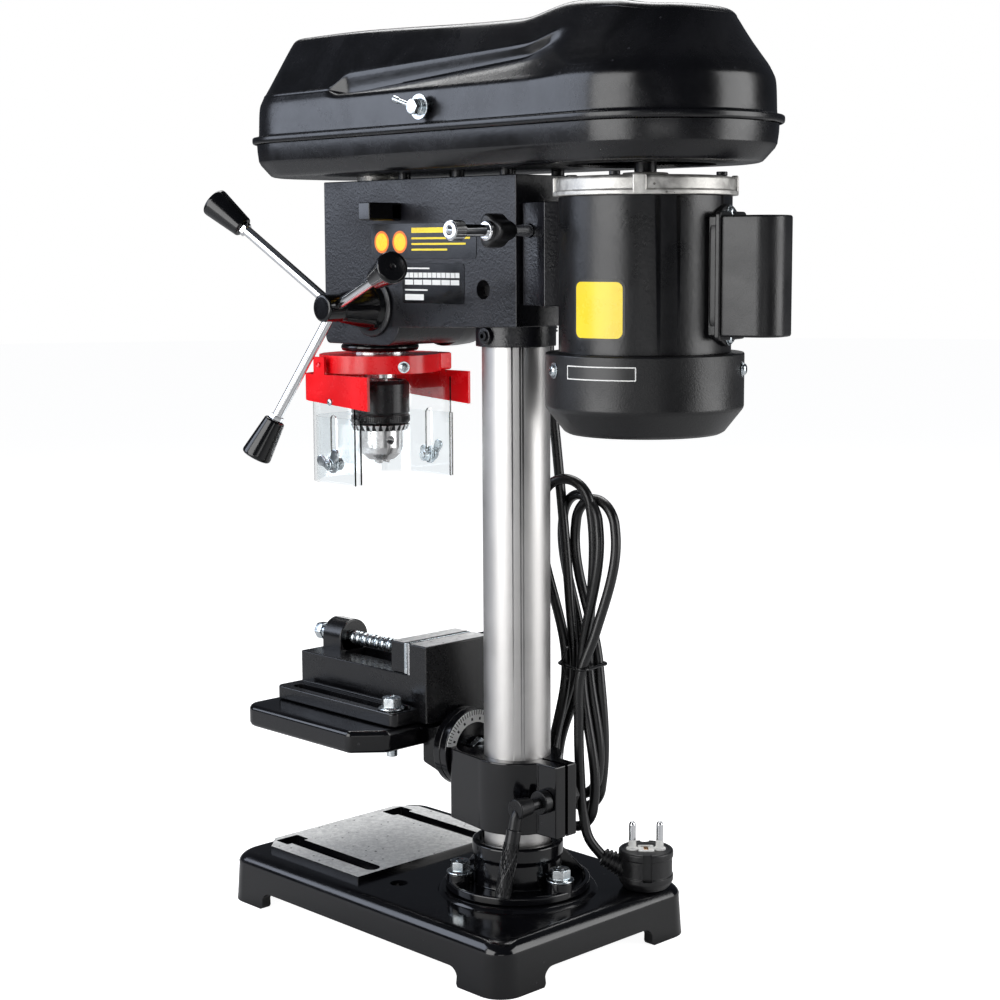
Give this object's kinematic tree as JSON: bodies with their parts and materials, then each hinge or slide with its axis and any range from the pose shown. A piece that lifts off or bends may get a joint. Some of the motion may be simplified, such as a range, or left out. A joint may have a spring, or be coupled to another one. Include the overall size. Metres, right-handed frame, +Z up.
{
  "type": "drill press",
  "caption": "Benchtop drill press on a round column, with belt-driven chuck, three-arm feed, tilting table with vise, hinged chuck guard and upright motor.",
  "frame": {"origin": "on the floor, at the centre of the machine's footprint without its cord", "axes": "+Z up along the column, +X the operator's right (feed handles), -Y the front (chuck), +Y the rear (motor)"},
  "size_m": [0.2095, 0.4485, 0.631],
  "materials": {
    "black_enamel": "gloss black enamel",
    "textured_black": "satin textured black paint",
    "black_plastic": "grained moulded plastic",
    "ground_steel": "ground and brushed",
    "zinc": "bright zinc plate",
    "chrome": "polished",
    "aluminium": "as cast",
    "black_oxide": "black oxide",
    "red_plastic": "gloss red",
    "green_plastic": "gloss green",
    "clear_plastic": "clear polycarbonate",
    "belt_rubber": "matt rubber",
    "cord_pvc": "smooth PVC sheath"
  },
  "bodies": {
    "stand": {"base_casting": "black_enamel", "column_socket": "black_enamel", "socket_bolt_1": "zinc", "socket_bolt_2": "zinc", "socket_bolt_3": "zinc", "column_tube": "ground_steel", "head_casting": "textured_black", "pulley_pan": "black_enamel", "lid_hinge_pin": "zinc", "return_spring_cap": "black_enamel", "chuck_key_clip": "black_plastic", "switch_box": "black_plastic", "motor_bracket": "textured_black", "motor_tube": "textured_black", "motor_bell": "aluminium", "motor_fan_cover": "black_plastic", "capacitor_box": "black_plastic", "drive_belt": "belt_rubber", "cord_gland": "black_plastic", "cord_lead": "cord_pvc", "cord_hank": "cord_pvc", "cord_tail": "cord_pvc", "cord_plug": "black_plastic"},
    "bracket": {"table_bracket": "black_enamel"},
    "clamp_handle": {"table_clamp_handle": "black_oxide"},
    "table": {"table_top": "black_enamel", "tilt_bolt": "zinc", "vise_body": "textured_black", "vise_bolt_1": "zinc", "vise_bolt_2": "zinc"},
    "vise_jaw": {"vise_moving_jaw": "textured_black"},
    "vise_screw": {"vise_screw": "zinc"},
    "feed": {"feed_hub": "black_enamel", "feed_rod_1": "chrome", "feed_rod_2": "chrome", "feed_rod_3": "chrome", "feed_knob_1": "black_plastic", "feed_knob_2": "black_plastic", "feed_knob_3": "black_plastic"},
    "quill": {"quill": "ground_steel", "guard_ring": "red_plastic"},
    "spindle": {"spindle": "ground_steel", "chuck_body": "ground_steel"},
    "chuck_sleeve": {"chuck_sleeve": "black_oxide"},
    "chuck_jaw_1": {"chuck_jaw_1": "ground_steel"},
    "chuck_jaw_2": {"chuck_jaw_2": "ground_steel"},
    "chuck_jaw_3": {"chuck_jaw_3": "ground_steel"},
    "guard": {"guard_skirt": "red_plastic", "guard_screen": "clear_plastic"},
    "guard_slide": {"guard_sliding_screen": "clear_plastic"},
    "wing_nut_1": {"guard_wing_nut_1": "zinc"},
    "wing_nut_2": {"guard_wing_nut_2": "zinc"},
    "spindle_pulley": {"spindle_pulley": "aluminium"},
    "motor_rotor": {"motor_rotor": "ground_steel", "motor_pulley": "aluminium"},
    "lid": {"pulley_lid": "black_enamel"},
    "latch": {"lid_latch_bolt": "zinc"},
    "start_button": {"start_button": "green_plastic"},
    "stop_button": {"stop_button": "red_plastic"},
    "tension_lock": {"tension_lock_screw": "chrome"}
  },
  "joints": [
    {"name": "table_height", "type": "slide", "parent": "stand", "child": "bracket", "axis": [0, 0, 1], "range_m": [-0.008, 0.05]},
    {"name": "table_clamp", "type": "hinge", "parent": "bracket", "child": "clamp_handle", "pos_m": [0.0252, 0.0467, 0.107], "axis": [1, 0, 0], "range_deg": [-90, 90]},
    {"name": "table_tilt", "type": "hinge", "parent": "bracket", "child": "table", "pos_m": [-0.0108, -0.0393, 0.127], "axis": [0, 1, 0], "range_deg": [-45, 45]},
    {"name": "vise_jaw_slide", "type": "slide", "parent": "table", "child": "vise_jaw", "axis": [0, 1, 0], "range_m": [-0.06, 0]},
    {"name": "vise_screw_spin", "type": "hinge", "parent": "vise_jaw", "child": "vise_screw", "pos_m": [-0.0108, -0.1403, 0.188], "axis": [0, 1, 0], "range_deg": [0, 7200]},
    {"name": "feed_turn", "type": "hinge", "parent": "stand", "child": "feed", "pos_m": [0.0552, -0.1003, 0.437], "axis": [1, 0, 0], "range_deg": [0, 286.4], "stiffness_Nm_per_rad": 0.12, "springref_deg": -171.89},
    {"name": "quill_travel", "type": "slide", "parent": "stand", "child": "quill", "axis": [0, 0, 1], "range_m": [-0.05, 0]},
    {"name": "spindle_spin", "type": "hinge", "parent": "quill", "child": "spindle", "pos_m": [-0.0108, -0.1303, 0.388], "axis": [0, 0, 1], "continuous": true},
    {"name": "chuck_sleeve_spin", "type": "hinge", "parent": "spindle", "child": "chuck_sleeve", "pos_m": [-0.0108, -0.1303, 0.355], "axis": [0, 0, 1], "range_deg": [0, 720]},
    {"name": "chuck_jaw_1_slide", "type": "slide", "parent": "spindle", "child": "chuck_jaw_1", "axis": [0.2241, 0.1294, 0.9659], "range_m": [0, 0.007]},
    {"name": "chuck_jaw_2_slide", "type": "slide", "parent": "spindle", "child": "chuck_jaw_2", "axis": [-0.2241, 0.1294, 0.9659], "range_m": [0, 0.007]},
    {"name": "chuck_jaw_3_slide", "type": "slide", "parent": "spindle", "child": "chuck_jaw_3", "axis": [0, -0.2588, 0.9659], "range_m": [0, 0.007]},
    {"name": "guard_flip", "type": "hinge", "parent": "quill", "child": "guard", "pos_m": [-0.0108, -0.1403, 0.3955], "axis": [1, 0, 0], "range_deg": [-75, 0]},
    {"name": "guard_screen_slide", "type": "slide", "parent": "guard", "child": "guard_slide", "axis": [0, 0, 1], "range_m": [0, 0.027]},
    {"name": "wing_nut_1_spin", "type": "hinge", "parent": "guard_slide", "child": "wing_nut_1", "pos_m": [0.0352, -0.1283, 0.325], "axis": [1, 0, 0], "continuous": true},
    {"name": "wing_nut_2_spin", "type": "hinge", "parent": "guard_slide", "child": "wing_nut_2", "pos_m": [-0.0568, -0.1283, 0.325], "axis": [1, 0, 0], "continuous": true},
    {"name": "spindle_pulley_spin", "type": "hinge", "parent": "stand", "child": "spindle_pulley", "pos_m": [-0.0108, -0.1303, 0.534], "axis": [0, 0, 1], "continuous": true},
    {"name": "motor_spin", "type": "hinge", "parent": "stand", "child": "motor_rotor", "pos_m": [-0.0108, 0.1247, 0.46], "axis": [0, 0, 1], "continuous": true},
    {"name": "lid_open", "type": "hinge", "parent": "stand", "child": "lid", "pos_m": [-0.0894, 0.0097, 0.5506], "axis": [0, -1, 0], "range_deg": [0, 85]},
    {"name": "latch_turn", "type": "hinge", "parent": "lid", "child": "latch", "pos_m": [0.0592, -0.0053, 0.567], "axis": [1, 0, 0], "range_deg": [0, 90]},
    {"name": "start_button_press", "type": "slide", "parent": "stand", "child": "start_button", "axis": [1, 0, 0], "range_m": [0, 0.003], "stiffness_N_per_m": 400},
    {"name": "stop_button_press", "type": "slide", "parent": "stand", "child": "stop_button", "axis": [1, 0, 0], "range_m": [0, 0.003], "stiffness_N_per_m": 400},
    {"name": "tension_lock_turn", "type": "hinge", "parent": "stand", "child": "tension_lock", "pos_m": [0.0492, 0.0507, 0.488], "axis": [1, 0, 0], "range_deg": [0, 720]}
  ],
  "couplings": [
    {"joint": "quill_travel", "follows": "feed_turn", "m_per_rad": -0.01},
    {"joint": "vise_screw_spin", "follows": "vise_jaw_slide", "rad_per_m": -2094},
    {"joint": "spindle_spin", "follows": "motor_spin", "ratio": 1},
    {"joint": "spindle_pulley_spin", "follows": "motor_spin", "ratio": 1},
    {"joint": "chuck_sleeve_spin", "follows": "chuck_jaw_1_slide", "rad_per_m": 1795},
    {"joint": "chuck_jaw_2_slide", "follows": "chuck_jaw_1_slide", "ratio": 1},
    {"joint": "chuck_jaw_3_slide", "follows": "chuck_jaw_1_slide", "ratio": 1}
  ]
}
